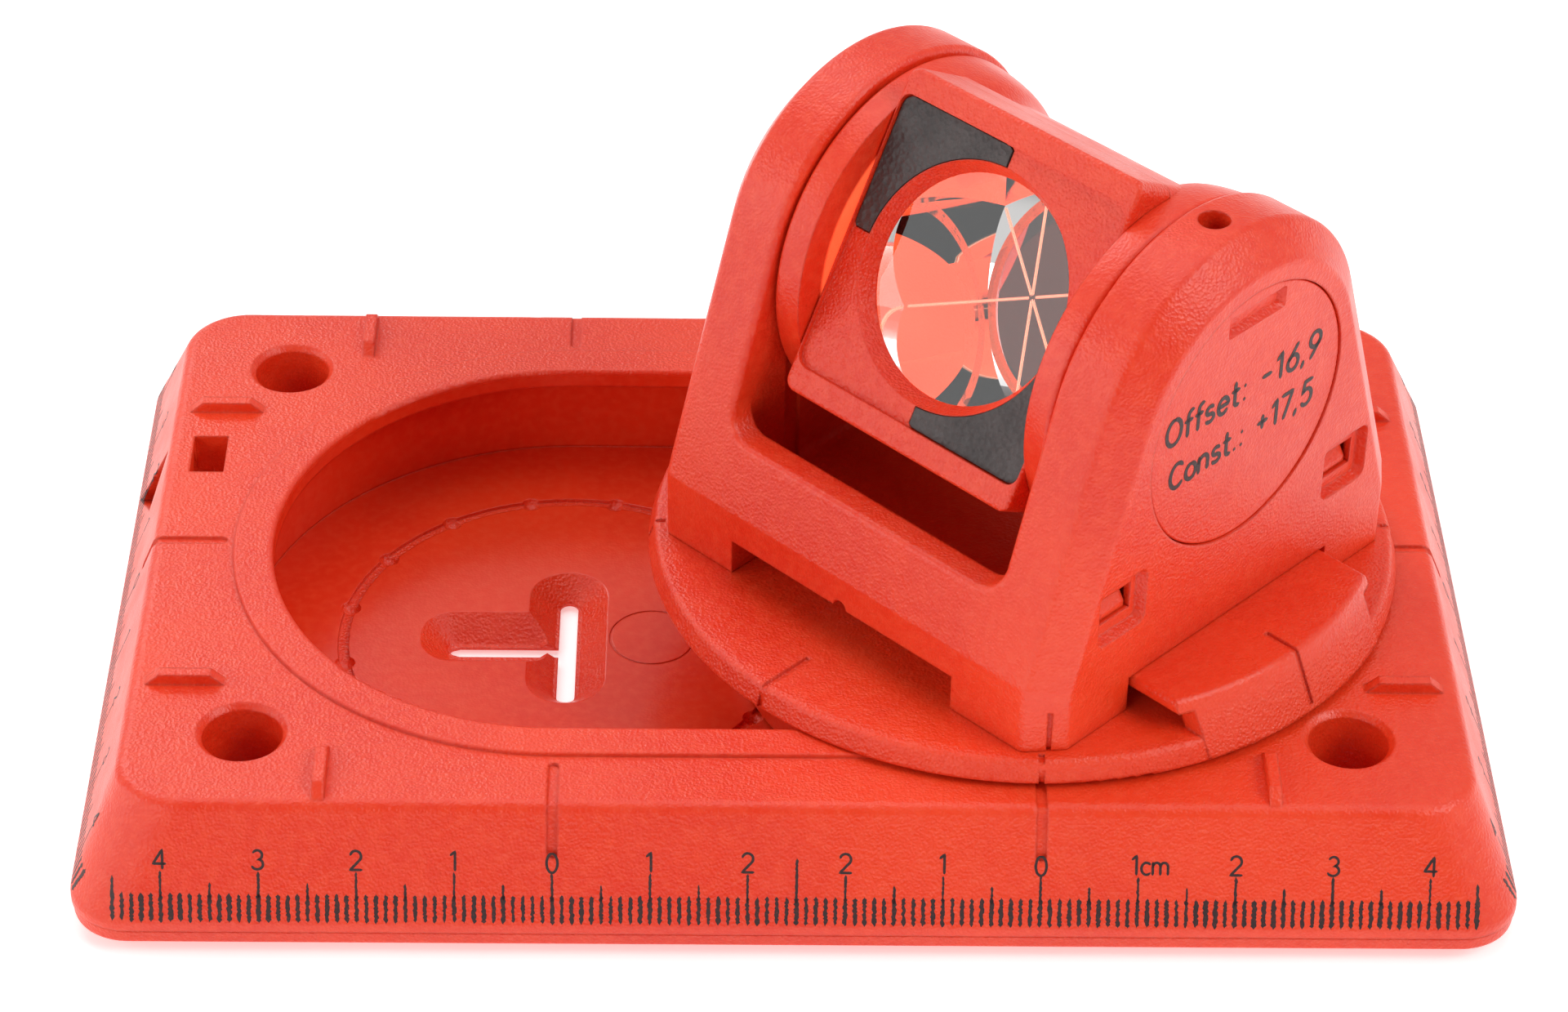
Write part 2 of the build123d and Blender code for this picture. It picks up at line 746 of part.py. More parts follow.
def cheek_cuts(side):
    """All cuts in one cheek; side is -1 for left and 1 for right."""
    turn = Rot(0, 0, 0) if side > 0 else Rot(0, 0, 180)
    wall_x = cheek_inner_x + cheek_wall
    cuts = rod_x(cheek_cavity_r, wall_x, cap_seat_x + 1, 0, axis_z)
    cuts = cuts + rod_x(cap_seat_r, cap_seat_x, yoke_half + 1, 0, axis_z)
    cuts = cuts + rod_x(trunnion_bore_r, cheek_inner_x - 1, wall_x + 1, 0, axis_z)
    cuts = cuts + rod_x(friction_seat_r, cheek_inner_x - 1, friction_seat_x, 0, axis_z)
    guide = block(
        cheek_inner_x - 1, cheek_inner_x + guide_depth, side * guide_y - guide_width / 2,
        side * guide_y + guide_width / 2, well_floor_z, guide_top_z)
    cuts = cuts + guide + rod_x(
        guide_width / 2, cheek_inner_x - 1, cheek_inner_x + guide_depth, side * guide_y, guide_top_z)
    for sy in (-1, 1):
        y = sy * window_offset_y
        window_mid_z = (window_bottom_z + window_top_z) / 2
        cuts = cuts + block(
            hook_pocket_inner_x, hook_pocket_outer_x, y - hook_pocket_width / 2,
            y + hook_pocket_width / 2, disc_top_z - 1, hook_pocket_top_z)
        mouth = Plane.YZ.offset(yoke_half) * Pos(y, window_mid_z) * RectangleRounded(
            window_width, window_top_z - window_bottom_z, window_corner_r)
        cuts = cuts + extrude(mouth, -window_depth, taper=window_draft)
        cuts = cuts + block(
            hook_pocket_outer_x - 1, yoke_half + 1, y - window_inner_width / 2,
            y + window_inner_width / 2, window_mid_z - window_inner_height / 2,
            window_mid_z + window_inner_height / 2)
    return turn * cuts


def make_yoke():
    body = yoke_outer() - cheek_opening()
    body = fillet(opening_edges(body), cheek_edge_r) - yoke_well()
    body = body - block(
        -far, far, -foot_gap_half, foot_gap_half, disc_top_z - 1, foot_gap_top_z)
    body = body - block(
        -foot_gap_half, foot_gap_half, -far, far, disc_top_z - 1, foot_gap_top_z)
    for side in (-1, 1):
        body = body - cheek_cuts(side)
    body = body - upright(clamp_hole_r, axis_z, axis_z + head_r + 1, clamp_x, 0)
    body = body - rod_y(beam_notch_r, -yoke_half - 1, yoke_half + 1, 0, foot_gap_top_z)
    for step in range(4):
        mark = block(
            corner_mark_inner, disc_r, corner_mark_near, corner_mark_far,
            disc_top_z - 1, disc_top_z + corner_mark_height)
        body = body - Rot(0, 0, 45 + 90 * step) * mark
    body = body - block(-far, far, -far, far, disc_top_z - 1, disc_top_z + foot_play)
    return head_place(body)


def make_cap(side):
    """Cover disc pressed into the cheek over one pivot, with a prying notch."""
    body = rod_x(cap_r, cap_seat_x, cap_face_x)
    body = fillet(body.edges().filter_by(GeomType.CIRCLE).sort_by(Axis.X)[-1:], 0.25)
    skirt = rod_x(cap_skirt_r, cap_seat_x - cap_skirt_length, cap_seat_x + 0.1)
    skirt = skirt - rod_x(cap_skirt_r - cap_skirt_wall, 0, cap_seat_x)
    mouth = Plane.YZ.offset(cap_face_x) * Pos(cap_notch_y, cap_notch_z) * RectangleRounded(
        cap_notch_length, cap_notch_height, cap_notch_r)
    notch = extrude(mouth, -cap_notch_depth, taper=cap_notch_draft)
    body = body + skirt - notch
    if side < 0:
        body = Rot(0, 0, 180) * body
    return head_place(Pos(0, 0, axis_z) * body)


def make_friction_disc(side):
    body = rod_x(friction_disc_r, friction_disc_in_x, friction_disc_out_x)
    body = body - rod_x(friction_disc_bore_r, 0, yoke_half)
    if side < 0:
        body = Rot(0, 0, 180) * body
    return head_place(Pos(0, 0, axis_z) * body)


def make_wave_spring(side):
    body = rod_x(wave_outer_r, wave_in_x, wave_out_x) - rod_x(wave_inner_r, 0, yoke_half)
    if side < 0:
        body = Rot(0, 0, 180) * body
    return head_place(Pos(0, 0, axis_z) * body)


def make_clamp_screw():
    low = axis_z + trunnion_r + clamp_gap
    body = upright(clamp_screw_r, low, low + clamp_screw_length, clamp_x, 0)
    drive = extrude(RegularPolygon(clamp_drive_r, 6), clamp_drive_depth + 1)
    body = body - Pos(clamp_x, 0, low + clamp_screw_length - clamp_drive_depth) * drive
    return head_place(body)


# ---- prism head ----
def make_bezel():
    """Square front frame that holds the glass and the two targets."""
    face = Plane.XZ * RectangleRounded(2 * bezel_half_x, 2 * bezel_half_z, bezel_corner_r)
    body = Pos(0, -bezel_back, 0) * extrude(face, face_depth - bezel_back)
    front = body.faces().sort_by(Axis.Y)[0]
    body = fillet(front.edges(), bezel_edge_r)
    panel = Plane.XZ * RectangleRounded(2 * panel_half, 2 * panel_half, panel_corner_r)
    body = body - Pos(0, -face_depth + panel_recess, 0) * extrude(panel, panel_recess + 1)
    panel_depth = face_depth - panel_recess
    seat = Cone(seat_front_r, seat_back_r, panel_depth - glass_front)
    seat = Rot(-90, 0, 0) * seat
    body = body - Pos(0, -(panel_depth + glass_front) / 2, 0) * seat
    body = body - rod_y(glass_seat_r, -glass_front, 0)
    body = body - rod_y(gasket_seat_r, -glass_front, -gasket_back + 0.05)
    body = body - rod_y(seat_back_r, -glass_front - 0.3, 0)
    for sx in (-1, 1):
        for sz in (-1, 1):
            body = body - rod_y(
                frame_screw_r + screw_clear, -bezel_back - 2.2, 0, sx * boss_x, sz * boss_z)
    for body_part in target_outlines(target_gap):
        body = body - Pos(0, -panel_depth + target_thick, 0) * extrude(body_part, 3)
    return body


def target_outlines(grow):
    """Two corner targets as faces in the XZ plane, grown by a small gap."""
    faces = []
    for turn in (0, 180):
        reach = panel_half - target_margin + grow
        square = Pos(-reach / 2, reach / 2) * RectangleRounded(reach, reach, panel_corner_r - 0.3)
        shape = square - Circle(seat_front_r + 0.12 - grow / 2)
        left_trim = Pos(-reach, 0) * Rectangle(2 * reach, 2 * (target_end - grow))
        top_trim = Pos(0, reach) * Rectangle(2 * (target_end - grow), 2 * reach)
        shape = shape - left_trim - top_trim
        faces.append(Plane.XZ * Rot(0, 0, turn) * shape)
    return faces


def make_target(index):
    shape = target_outlines(0)[index]
    panel_depth = face_depth - panel_recess
    proud = 0.1
    body = extrude(shape, target_thick + proud)
    return Pos(0, -panel_depth + target_thick - 0.02, 0) * body


def head_shell():
    """Barrel around the tilt axis that flares out to a hub at each cheek."""
    half = [Line((0, 0), (0, barrel_r)), Line((0, barrel_r), (barrel_straight_x, barrel_r))]
    half.append(Spline(
        (barrel_straight_x, barrel_r), *flare, (hub_start_x, hub_r), tangents=[(1, 0.3), (1, 0.05)]))
    half.append(Line((hub_start_x, hub_r), (hub_out_x, hub_r)))
    half.append(Line((hub_out_x, hub_r), (hub_out_x, 0)))
    half.append(Line((hub_out_x, 0), (0, 0)))
    body = revolve(make_face(Curve() + half), Axis.X)
    body = fillet(body.edges().filter_by(GeomType.CIRCLE).sort_by(Axis.X)[-1:], hub_edge_r)
    return body + mirror(body, Plane.YZ)


def make_back():
    """Rear housing: barrel, hubs, trunnions and bosses, open toward the bezel."""
    body = head_shell()
    front_cut = block(
        -bezel_half_x - 0.05, bezel_half_x + 0.05, -far, -bezel_back + frame_slip, -far, far)
    neck = block(-bezel_half_x, bezel_half_x, -bezel_back + frame_slip, 0, -bezel_half_z, bezel_half_z)
    neck = fillet(neck.edges().filter_by(Axis.Y), bezel_corner_r)
    trim = rod_x(barrel_r, -far, far)
    trim = trim + block(-far, far, -far, -bezel_back + neck_depth, -far, far)
    body = body + (neck & trim)
    body = body - front_cut
    hollow = rod_x(barrel_r - back_wall, -bezel_half_x + back_wall, bezel_half_x - back_wall)
    hollow = hollow + rod_y(glass_seat_r, -20, 0)
    body = body - hollow
    for sx in (-1, 1):
        for sz in (-1, 1):
            boss = rod_y(boss_r, -bezel_back + frame_slip, 2 - frame_screw_seat, sx * boss_x, sz * boss_z)
            body = body + (boss & rod_x(barrel_r - 0.1, -far, far))
            body = body - rod_y(
                frame_screw_r + screw_clear, -20, 20, sx * boss_x, sz * boss_z)
            body = body - rod_y(
                frame_screw_head_r + 0.1, -frame_screw_seat, 30, sx * boss_x, sz * boss_z)
    for side in (-1, 1):
        low = hub_out_x - 0.5 if side > 0 else -trunnion_end_x
        pin = rod_x(trunnion_r, low, low + trunnion_end_x - hub_out_x + 0.5)
        hole_low = trunnion_end_x - pivot_shank_length if side > 0 else -trunnion_end_x - 1
        pin = pin - rod_x(pivot_shank_r + screw_clear, hole_low, hole_low + pivot_shank_length + 1)
        body = body + pin
        body = body - rod_x(
            pivot_shank_r + screw_clear, hole_low, hole_low + pivot_shank_length + 1)
    return body


def make_glass():
    """Corner-cube glass: round face, short rim, then three faces that meet at the apex."""
    body = rod_y(glass_r, -glass_front, glass_height - glass_front)
    lean = math.degrees(math.atan(math.sqrt(2)))
    for step in range(3):
        keep = Box(80, 80, 80, align=(Align.CENTER, Align.MAX, Align.CENTER))
        keep = Pos(0, glass_height - glass_front, 0) * Rot(0, 60 + 120 * step, 0) * Rot(
            lean, 0, 0) * keep
        body = body & keep
    return body


def make_gasket():
    """Elastic band around the rim of the glass that centres it in the bezel."""
    return rod_y(gasket_outer_r, -gasket_front, -gasket_back) - rod_y(gasket_inner_r, -30, 30)


def make_cushion():
    """Foam pad between the back wall and the glass apex."""
    apex = glass_height - glass_front
    return rod_y(cushion_r, apex + cushion_gap, barrel_r - back_wall - cushion_gap - 0.4)


def make_frame_screws():
    screws = []
    for sx in (-1, 1):
        for sz in (-1, 1):
            head = rod_y(frame_screw_head_r, -frame_screw_seat, 1.5 - frame_screw_seat, sx * boss_x, sz * boss_z)
            shank = rod_y(frame_screw_r, -bezel_back - 2.0, -frame_screw_seat, sx * boss_x, sz * boss_z)
            drive = Box(2.4, 1.2, 0.6) + Box(0.6, 1.2, 2.4)
            head = head - Pos(sx * boss_x, 1.5 - frame_screw_seat, sz * boss_z) * drive
            screws.append(prism_place(head + shank))
    return screws


def make_washer(side):
    body = rod_x(washer_r, washer_in_x, washer_out_x) - rod_x(pivot_shank_r + 0.1, 0, yoke_half)
    if side < 0:
        body = Rot(0, 0, 180) * body
    return prism_place(body)


def make_pivot_screw(side):
    body = rod_x(pivot_head_r, washer_out_x, washer_out_x + pivot_head_length)
    body = body + rod_x(
        pivot_shank_r, trunnion_end_x - pivot_shank_length + 0.3, washer_out_x + 0.1)
    drive = Plane.YZ.offset(washer_out_x + pivot_head_length - hex_depth) * RegularPolygon(hex_r, 6)
    body = body - extrude(drive, 2)
    if side < 0:
        body = Rot(0, 0, 180) * body
    return prism_place(body)


def save(name, shapes):
    """Write one node's solids to its own file."""
    solids = []
    for shape in shapes:
        solids.extend(shape.solids())
    whole = solids[0] if len(solids) == 1 else Compound(children=solids)
    export_step(whole, "parts/" + name + ".step")
    print(name, len(solids), round(sum(s.volume for s in solids), 1))


os.makedirs("parts", exist_ok=True)
both_sides = (-1, 1)
save("base_plate", [make_base_plate()])
save("base_bottom", [make_base_bottom()])
save("retaining_ring", [make_keeper()])
save("turntable", [make_turntable()])
save("drum", [make_drum()])
save("drum_screws", make_drum_screws())
save("yoke", [make_yoke()])
save("cap_right", [make_cap(1)])
save("cap_left", [make_cap(-1)])
save("friction_discs", [make_friction_disc(side) for side in both_sides])
save("wave_springs", [make_wave_spring(side) for side in both_sides])
save("clamp_screw", [make_clamp_screw()])
save("bezel", [prism_place(make_bezel())])
save("prism_back", [prism_place(make_back())])
save("glass", [prism_place(make_glass())])
save("gasket", [prism_place(make_gasket())])
save("cushion", [prism_place(make_cushion())])
save("target_upper", [prism_place(make_target(0))])
save("target_lower", [prism_place(make_target(1))])
save("frame_screws", make_frame_screws())
save("pivot_washers", [make_washer(side) for side in both_sides])
save("pivot_screws", [make_pivot_screw(side) for side in both_sides])
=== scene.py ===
import math
import random

import bpy
from mathutils import Matrix, Vector


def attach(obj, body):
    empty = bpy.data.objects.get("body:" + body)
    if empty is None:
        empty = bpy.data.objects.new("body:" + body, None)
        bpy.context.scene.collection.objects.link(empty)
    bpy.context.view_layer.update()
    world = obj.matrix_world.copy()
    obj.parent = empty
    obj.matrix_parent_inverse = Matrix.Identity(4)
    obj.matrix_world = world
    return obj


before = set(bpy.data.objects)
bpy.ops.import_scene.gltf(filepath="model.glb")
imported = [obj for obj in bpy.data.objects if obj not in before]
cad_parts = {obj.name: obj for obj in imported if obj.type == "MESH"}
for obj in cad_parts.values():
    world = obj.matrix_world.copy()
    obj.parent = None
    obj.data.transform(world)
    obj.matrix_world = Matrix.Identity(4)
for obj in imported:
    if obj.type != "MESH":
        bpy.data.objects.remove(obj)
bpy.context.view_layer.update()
MM = 0.001

# ---- sizes shared with the CAD model, in millimetres ----
STATION_X = 25.0
AXIS_Z = 49.4
TILT = math.radians(30.3)
HEAD_TURN = math.radians(-45.0)
DECK_Z = 16.5
SKIRT_Z = 4.4
DECK_HALF = (69.9, 43.85)
SKIRT_HALF = (75.0, 48.9)
DECK_CORNER_R = 7.0
SKIRT_CORNER_R = 6.3
CAP_FACE_X = 28.8
GLASS_FRONT = 11.9
GLASS_HEIGHT = 19.0
GLASS_R = 12.7

# ---- where a finish fades from one kind to the other, and where painted light fades out, in millimetres ----
POCKET_WALL_R = (36.0, 36.4)
POCKET_WALL_Z = (16.0, 16.6)
POCKET_FLOOR_LOW = (3.12, 3.22)
POCKET_FLOOR_HIGH = (3.28, 3.32)
DISC_TOP_R = (38.5, 39.4)
DISC_TOP_POLISH = 0.55
# HOUSING and SEAT sizes bound the painted light, an emission, on the inner housing wall and the bezel bore
HOUSING_R = (15.8, 16.4)
HOUSING_REACH = (16.0, 16.4)
SEAT_R = (13.4, 13.8)
SEAT_FORWARD = (11.88, 11.95)


def head_vector(x, y, z):
    """Turn a direction from the yoke's own axes into the row frame."""
    return Matrix.Rotation(HEAD_TURN, 4, "Z") @ Vector((x, y, z))


# ---------------------------------------------------------------- materials
class Nodes:
    """Small helper that adds and links shader nodes."""

    def __init__(self, name):
        self.mat = bpy.data.materials.new(name)
        self.mat.use_nodes = True
        self.tree = self.mat.node_tree
        self.bsdf = next(n for n in self.tree.nodes if n.type == "BSDF_PRINCIPLED")
        self.coord = self.add("ShaderNodeTexCoord").outputs["Object"]

    def add(self, kind, **props):
        node = self.tree.nodes.new(kind)
        for key, value in props.items():
            setattr(node, key, value)
        return node

    def link(self, source, target):
        self.tree.links.new(source, target)

    def noise(self, scale, detail=3.0, rough=0.5, vector=None):
        node = self.add("ShaderNodeTexNoise")
        node.inputs["Scale"].default_value = scale
        node.inputs["Detail"].default_value = detail
        node.inputs["Roughness"].default_value = rough
        self.link(vector or self.coord, node.inputs["Vector"])
        return node.outputs["Fac"]

    def pebble(self, scale, smooth=0.4):
        node = self.add("ShaderNodeTexVoronoi", feature="SMOOTH_F1")
        node.inputs["Scale"].default_value = scale
        node.inputs["Smoothness"].default_value = smooth
        self.link(self.coord, node.inputs["Vector"])
        return node.outputs["Distance"]

    def set(self, slot, value):
        """Link a socket to another one, or give it a plain value."""
        if hasattr(value, "is_linked"):
            self.link(value, slot)
        else:
            slot.default_value = value

    def math(self, kind, a, b=0.0):
        node = self.add("ShaderNodeMath", operation=kind)
        self.set(node.inputs[0], a)
        self.set(node.inputs[1], b)
        return node.outputs[0]

    def dot(self, a, b):
        node = self.add("ShaderNodeVectorMath", operation="DOT_PRODUCT")
        self.set(node.inputs[0], a)
        self.set(node.inputs[1], b)
        return node.outputs["Value"]

    def range(self, value, low, high, to_low=0.0, to_high=1.0, smooth=True):
        node = self.add("ShaderNodeMapRange")
        if smooth:
            node.interpolation_type = "SMOOTHSTEP"
        self.link(value, node.inputs["Value"])
        for key, number in (("From Min", low), ("From Max", high), ("To Min", to_low), ("To Max", to_high)):
            self.set(node.inputs[key], number)
        return node.outputs["Result"]

    def below(self, value, edge):
        """1 under the first size in millimetres, fading to 0 at the second."""
        return self.range(value, edge[0] * MM, edge[1] * MM, 1.0, 0.0)

    def above(self, value, edge):
        """0 under the first size in millimetres, rising to 1 at the second."""
        return self.range(value, edge[0] * MM, edge[1] * MM)

    def mix(self, factor, a, b):
        node = self.add("ShaderNodeMix", data_type="RGBA")
        self.set(node.inputs[0], factor)
        for slot, value in ((node.inputs[6], a), (node.inputs[7], b)):
            if hasattr(value, "is_linked"):
                self.link(value, slot)
            else:
                slot.default_value = (*value, 1.0)
        return node.outputs[2]

    def axes(self):
        node = self.add("ShaderNodeSeparateXYZ")
        self.link(self.coord, node.inputs[0])
        return node.outputs[0], node.outputs[1], node.outputs[2]

    def bump(self, height, strength, distance, normal=None):
        node = self.add("ShaderNodeBump")
        self.set(node.inputs["Strength"], strength)
        node.inputs["Distance"].default_value = distance
        self.link(height, node.inputs["Height"])
        if normal is not None:
            self.link(normal, node.inputs["Normal"])
        return node.outputs["Normal"]

    def bevel(self, radius):
        node = self.add("ShaderNodeBevel", samples=4)
        node.inputs["Radius"].default_value = radius
        return node.outputs["Normal"]

    def out(self, socket, value):
        self.set(self.bsdf.inputs[socket], value)


ORANGE_DEEP = (0.720, 0.030, 0.007)
ORANGE_LIT = (0.815, 0.050, 0.011)
ORANGE_FLECK = (0.85, 0.085, 0.030)
# painted light: emission colours and strength for walls inside the head, standing in for light that came
# through the glass
PAINTED_LIGHT_DEEP = (0.78, 0.13, 0.045)
PAINTED_LIGHT_LIT = (0.86, 0.20, 0.085)
PAINTED_LIGHT_STRENGTH = 0.85
GRAIN_DEPTH = 0.13 * MM
POLISHED_GRAIN = 0.10


def orange(name, grain=0.55, gloss_mask=None, edge=0.00025, streaks=True, painted_light_mask=None):
    """Moulded orange-red plastic: spark-eroded grain, slight flow variation, soft edges.

    gloss_mask marks polished stretches; the other mask marks the walls inside the head that get painted
    light, an emission standing in for light passed on from the glass.
    """
    n = Nodes(name)
    cloud = n.noise(28.0, 4.0, 0.55)
    fine = n.noise(900.0, 2.0, 0.5)
    body = n.mix(n.range(cloud, 0.35, 0.68), ORANGE_DEEP, ORANGE_LIT)
    body = n.mix(n.range(fine, 0.35, 0.75, 0.0, 0.35), body, ORANGE_FLECK)
    n.out("Base Color", body)
    pebble = n.pebble(2900.0, 0.55)
    crumb = n.noise(5200.0, 2.0, 0.6)
    height = n.math("ADD", n.math("MULTIPLY", pebble, 0.8), n.math("MULTIPLY", crumb, 0.5))
    strength = grain
    rough = n.range(n.noise(140.0, 3.0, 0.6), 0.3, 0.7, 0.29, 0.38)
    if gloss_mask is not None:
        smooth = gloss_mask(n)
        strength = n.range(smooth, 0.0, 1.0, grain, grain * POLISHED_GRAIN, smooth=False)
        streak_map = n.add("ShaderNodeMapping")
        streak_map.inputs["Scale"].default_value = (45.0, 1100.0, 45.0) if streaks else (120.0, 120.0, 120.0)
        n.link(n.coord, streak_map.inputs["Vector"])
        streak = n.noise(1.0, 3.0, 0.6, streak_map.outputs["Vector"])
        glossy = n.range(streak, 0.3, 0.75, 0.21, 0.27)
        blend = n.add("ShaderNodeMix", data_type="FLOAT")
        n.link(smooth, blend.inputs[0])
        n.link(rough, blend.inputs[2])
        n.link(glossy, blend.inputs[3])
        rough = blend.outputs[0]
    # painted light: emission on walls inside the head, standing in for light that came through the glass
    if painted_light_mask is not None:
        n.out("Emission Color", n.mix(n.range(cloud, 0.35, 0.7), PAINTED_LIGHT_DEEP, PAINTED_LIGHT_LIT))
        n.out("Emission Strength", n.math("MULTIPLY", painted_light_mask(n), PAINTED_LIGHT_STRENGTH))
    n.out("Roughness", rough)
    n.out("Normal", n.bump(height, strength, GRAIN_DEPTH, n.bevel(edge)))
    n.out("IOR", 1.5)
    n.out("Subsurface Weight", 0.12)
    n.out("Subsurface Radius", (1.0, 0.22, 0.12))
    n.out("Subsurface Scale", 0.0012)
    return n.mat


def head_place(n):
    """Place seen from the middle of the tilt axis, and its squared distance, in metres."""
    shift = n.add("ShaderNodeVectorMath", operation="SUBTRACT")
    n.link(n.coord, shift.inputs[0])
    shift.inputs[1].default_value = (STATION_X * MM, 0.0, AXIS_Z * MM)
    place = shift.outputs[0]
    return place, n.dot(place, place)


def off_axis(n, square, along):
    """Distance from an axis, from the squared distance to its middle and the place along it."""
    rest = n.math("SUBTRACT", square, n.math("MULTIPLY", along, along))
    return n.math("SQRT", n.math("MAXIMUM", rest, 0.0))


def housing_mask(n):
    """1 on the inner wall of the rear housing, where painted light, an emission, stands in for light that
    entered through the glass.
    """
    place, square = head_place(n)
    along = n.dot(place, tuple(head_vector(1.0, 0.0, 0.0)))
    inner = n.below(off_axis(n, square, along), HOUSING_R)
    return n.math("MULTIPLY", inner, n.below(n.math("ABSOLUTE", along), HOUSING_REACH))


def seat_mask(n):
    """1 on the bore of the bezel around the glass, where painted light, an emission, is added."""
    place, square = head_place(n)
    forward = n.dot(place, tuple(head_vector(0.0, -math.cos(TILT), math.sin(TILT))))
    inner = n.below(off_axis(n, square, forward), SEAT_R)
    return n.math("MULTIPLY", inner, n.below(forward, SEAT_FORWARD))


def pocket_mask(n):
    """1 on the polished pocket wall, 0 on the grained outside."""
    x, y, z = n.axes()
    over = n.math("SUBTRACT", n.math("ABSOLUTE", x), STATION_X * MM)
    over = n.math("MAXIMUM", over, 0.0)
    span = n.math("SQRT", n.math("ADD", n.math("MULTIPLY", over, over), n.math("MULTIPLY", y, y)))
    return n.math("MULTIPLY", n.below(span, POCKET_WALL_R), n.below(z, POCKET_WALL_Z))


def floor_mask(n):
    """1 on the pocket floor, 0 in the grained recesses and outside."""
    z = n.axes()[2]
    return n.math("MULTIPLY", n.above(z, POCKET_FLOOR_LOW), n.below(z, POCKET_FLOOR_HIGH))


def rim_mask(n):
    """Partly polished on the flat top of the turntable, 0 on its grained rim."""
    x, y, _ = n.axes()
    cx = n.math("SUBTRACT", x, STATION_X * MM)
    span = n.math("SQRT", n.math("ADD", n.math("MULTIPLY", cx, cx), n.math("MULTIPLY", y, y)))
    return n.math("MULTIPLY", n.below(span, DISC_TOP_R), DISC_TOP_POLISH)


def black_grain():
    """Black targets with a leather-like grain."""
    n = Nodes("target_black")
    cells = n.pebble(1500.0, 0.3)
    warp = n.noise(2600.0, 3.0, 0.6)
    cloud = n.noise(180.0, 3.0, 0.5)
    n.out("Base Color", n.mix(n.range(cloud, 0.3, 0.7), (0.034, 0.026, 0.025), (0.060, 0.047, 0.045)))
    n.out("Roughness", n.range(warp, 0.3, 0.7, 0.42, 0.58))
    height = n.math("ADD", cells, n.math("MULTIPLY", warp, 0.55))
    n.out("Normal", n.bump(height, 0.8, 0.00022, n.bevel(0.0002)))
    return n.mat


def ink(name, wear):
    """Black print, slightly uneven, thinner where it is rubbed."""
    n = Nodes(name)
    speck = n.noise(4200.0, 3.0, 0.7)
    worn = n.range(speck, 0.52, 0.72, 0.0, wear)
    n.out("Base Color", n.mix(worn, (0.022, 0.008, 0.008), (0.25, 0.03, 0.02)))
    n.out("Roughness", n.range(speck, 0.3, 0.7, 0.38, 0.60))
    n.out("Normal", n.bump(speck, 0.5, 0.00008))
    return n.mat


def metal(name, color, rough, scale):
    """Plated steel with fine turning marks."""
    n = Nodes(name)
    mark = n.noise(scale, 3.0, 0.6)
    n.out("Metallic", 1.0)
    n.out("Base Color", n.mix(n.range(mark, 0.3, 0.7), color, tuple(c * 0.82 for c in color)))
    n.out("Roughness", n.range(mark, 0.3, 0.7, rough, rough + 0.14))
    n.out("Normal", n.bump(mark, 0.25, 0.00003, n.bevel(0.00015)))
    return n.mat


def soft(name, color, rough, scale, depth):
    """Rubber, foam or acetal: one colour with its own fine surface."""
    n = Nodes(name)
    cell = n.noise(scale, 3.0, 0.6)
    n.out("Base Color", n.mix(n.range(cell, 0.3, 0.7), color, tuple(c * 0.75 for c in color)))
    n.out("Roughness", n.range(cell, 0.3, 0.7, rough, min(rough + 0.12, 1.0)))
    n.out("Normal", n.bump(cell, 0.6, depth))
    return n.mat


def optical_glass():
    """Polished corner cube with a warm bloom of dust on its faces."""
    n = Nodes("prism_glass")
    dust = n.noise(700.0, 5.0, 0.7)
    n.out("Base Color", (1.0, 0.975, 0.955, 1.0))
    n.out("Transmission Weight", 1.0)
    n.out("IOR", 1.517)
    n.out("Roughness", n.range(dust, 0.62, 0.85, 0.0, 0.03))
    return n.mat


def pale_edge():
    """Ground chamfers along the corner cube's edges, made to glow with painted light: an emission stands in
    for the light they catch.
    """
    n = Nodes("edge_chamfer_painted_glow")
    grind = n.noise(3000.0, 3.0, 0.6)
    n.out("Base Color", n.mix(n.range(grind, 0.3, 0.7), (1.0, 0.62, 0.48), (1.0, 0.50, 0.36)))
    n.out("Roughness", 0.5)
    # painted light: the chamfers glow though they are no lamp
    n.out("Emission Color", (1.0, 0.42, 0.26, 1.0))
    n.out("Emission Strength", 0.75)
    return n.mat


plastic = orange("orange_shell", gloss_mask=pocket_mask, edge=0.0005, streaks=False)
plastic_floor = orange("orange_floor", grain=0.90, gloss_mask=floor_mask)
plastic_disc = orange("orange_disc", grain=1.0, gloss_mask=rim_mask, edge=0.0005, streaks=False)
plastic_yoke = orange("orange_yoke", grain=0.55, edge=0.0004)
# painted light: emission on the bezel bore around the glass
plastic_bezel = orange("orange_bezel", grain=1.0, edge=0.0002, painted_light_mask=seat_mask)
plastic_drum = orange("orange_drum", grain=0.18)
plastic_cap = orange("orange_cap", grain=0.50, edge=0.00015)
# painted light: emission on the inner wall of the rear housing
plastic_back = orange("orange_back", grain=0.40, edge=0.0003, painted_light_mask=housing_mask)
steel = metal("screw_steel", (0.60, 0.60, 0.61), 0.28, 1600.0)
spring_steel = metal("spring_steel", (0.50, 0.50, 0.52), 0.30, 1200.0)
acetal = soft("acetal_white", (0.78, 0.77, 0.73), 0.38, 900.0, 0.00002)
rubber = soft("seal_rubber", (0.030, 0.030, 0.031), 0.55, 1500.0, 0.00003)
foam = soft("foam_rubber", (0.80, 0.13, 0.06), 0.85, 1100.0, 0.0002)
glass = optical_glass()
chamfer_painted_glow = pale_edge()
target = black_grain()
ink_scale = ink("scale_ink", 0.35)
ink_label = ink("label_ink", 0.15)
ink_side = ink("side_ink", 0.85)

